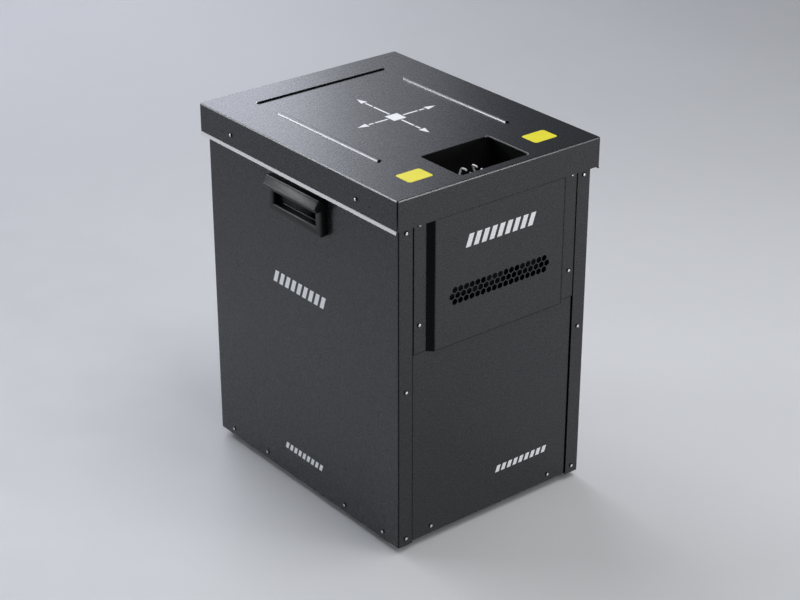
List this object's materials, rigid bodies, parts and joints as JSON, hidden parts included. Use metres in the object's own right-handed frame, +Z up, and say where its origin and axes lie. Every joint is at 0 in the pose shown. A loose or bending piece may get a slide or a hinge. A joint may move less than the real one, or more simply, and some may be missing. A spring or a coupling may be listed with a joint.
{
  "type": "stage flame machine",
  "caption": "Floor-standing sheet-metal stage flame machine with a nozzle opening in the lid, spark electrodes, vent hood, recessed pull handles and rear fuel door.",
  "frame": {"origin": "on the floor under the middle of the cabinet", "axes": "+Z up, -Y towards the front with the vent hood, +X to the right of someone facing the front"},
  "size_m": [0.3688, 0.44, 0.528],
  "materials": {
    "powder_coat": "fine textured powder coat",
    "dark_inside": "sooty matt",
    "steel": "zinc plated",
    "bright_steel": "polished",
    "brass": "turned",
    "cast_aluminium": "as cast",
    "black_plastic": "moulded, light grain",
    "grey_plastic": "moulded",
    "rubber": "matt",
    "ceramic": "glazed",
    "tank_plastic": "natural polyethylene",
    "red_cap": "moulded",
    "board_green": "lacquered circuit board",
    "screen": "clear window over a dark display",
    "motor_black": "semi-gloss"
  },
  "bodies": {
    "cabinet": {"lid": "powder_coat", "left_side_panel": "powder_coat", "right_side_panel": "powder_coat", "left_pull_handle": "black_plastic", "right_pull_handle": "black_plastic", "front_panel": "powder_coat", "vent_hood": "powder_coat", "back_panel": "powder_coat", "base_tray": "powder_coat", "inner_bulkhead": "steel", "foot_front_left": "rubber", "foot_front_right": "rubber", "foot_rear_left": "rubber", "foot_rear_right": "rubber", "fan_frame": "black_plastic", "fire_chamber": "dark_inside", "insulator_rear_left": "ceramic", "insulator_rear_right": "ceramic", "insulator_front_left": "ceramic", "insulator_front_right": "ceramic", "electrode_rear_left": "bright_steel", "electrode_rear_right": "bright_steel", "electrode_front_left": "bright_steel", "electrode_front_right": "bright_steel", "spray_nozzle": "brass", "valve_body": "brass", "valve_coil": "motor_black", "pump_motor": "motor_black", "pump_bell_housing": "cast_aluminium", "pump_head": "brass", "suction_hose": "rubber", "pressure_pipe": "steel", "fuel_tank": "tank_plastic", "filler_neck": "tank_plastic", "power_supply": "steel", "ignition_transformer": "motor_black", "ignition_lead_left": "rubber", "ignition_lead_right": "rubber", "control_board": "board_green", "control_tray": "powder_coat", "display_window": "screen", "display_board": "board_green", "power_switch_housing": "black_plastic", "power_inlet": "black_plastic", "power_outlet": "grey_plastic", "signal_inlet": "steel", "signal_outlet": "steel", "door_hinge": "steel", "door_hinge_pin": "steel"},
    "door": {"rear_door": "powder_coat"},
    "latch": {"door_latch": "steel"},
    "cap": {"tank_cap": "red_cap"},
    "fan": {"fan_rotor": "black_plastic"},
    "pump_shaft": {"drive_coupling": "steel"},
    "plunger": {"valve_plunger": "bright_steel"},
    "rocker": {"power_switch_rocker": "grey_plastic"},
    "button_1": {"menu_button_1": "grey_plastic"},
    "button_2": {"menu_button_2": "grey_plastic"},
    "button_3": {"menu_button_3": "grey_plastic"},
    "button_4": {"menu_button_4": "grey_plastic"}
  },
  "joints": [
    {"name": "rear_door_swing", "type": "hinge", "parent": "cabinet", "child": "door", "pos_m": [0.1177, 0.2139, 0.1684], "axis": [0, 0, -1], "range_deg": [0, 110]},
    {"name": "door_latch_turn", "type": "hinge", "parent": "door", "child": "latch", "pos_m": [-0.096, 0.2102, 0.1684], "axis": [0, 1, 0], "range_deg": [0, 90]},
    {"name": "tank_cap_lift", "type": "slide", "parent": "cabinet", "child": "cap", "axis": [0, 0, 1], "range_m": [0, 0.025]},
    {"name": "fan_spin", "type": "hinge", "parent": "cabinet", "child": "fan", "pos_m": [0, -0.19765, 0.3675], "axis": [0, 1, 0], "continuous": true},
    {"name": "pump_spin", "type": "hinge", "parent": "cabinet", "child": "pump_shaft", "pos_m": [0.0078, -0.0947, 0.0778], "axis": [1, 0, 0], "continuous": true},
    {"name": "valve_plunger_slide", "type": "slide", "parent": "cabinet", "child": "plunger", "axis": [1, 0, 0], "range_m": [0, 0.003], "stiffness_N_per_m": 300},
    {"name": "power_switch_rock", "type": "hinge", "parent": "cabinet", "child": "rocker", "pos_m": [0.092, 0.1854, 0.3698], "axis": [1, 0, 0], "range_deg": [-16, 0]},
    {"name": "menu_button_1_press", "type": "slide", "parent": "cabinet", "child": "button_1", "axis": [0, -1, 0], "range_m": [0, 0.0015], "stiffness_N_per_m": 400},
    {"name": "menu_button_2_press", "type": "slide", "parent": "cabinet", "child": "button_2", "axis": [0, -1, 0], "range_m": [0, 0.0015], "stiffness_N_per_m": 400},
    {"name": "menu_button_3_press", "type": "slide", "parent": "cabinet", "child": "button_3", "axis": [0, -1, 0], "range_m": [0, 0.0015], "stiffness_N_per_m": 400},
    {"name": "menu_button_4_press", "type": "slide", "parent": "cabinet", "child": "button_4", "axis": [0, -1, 0], "range_m": [0, 0.0015], "stiffness_N_per_m": 400}
  ]
}
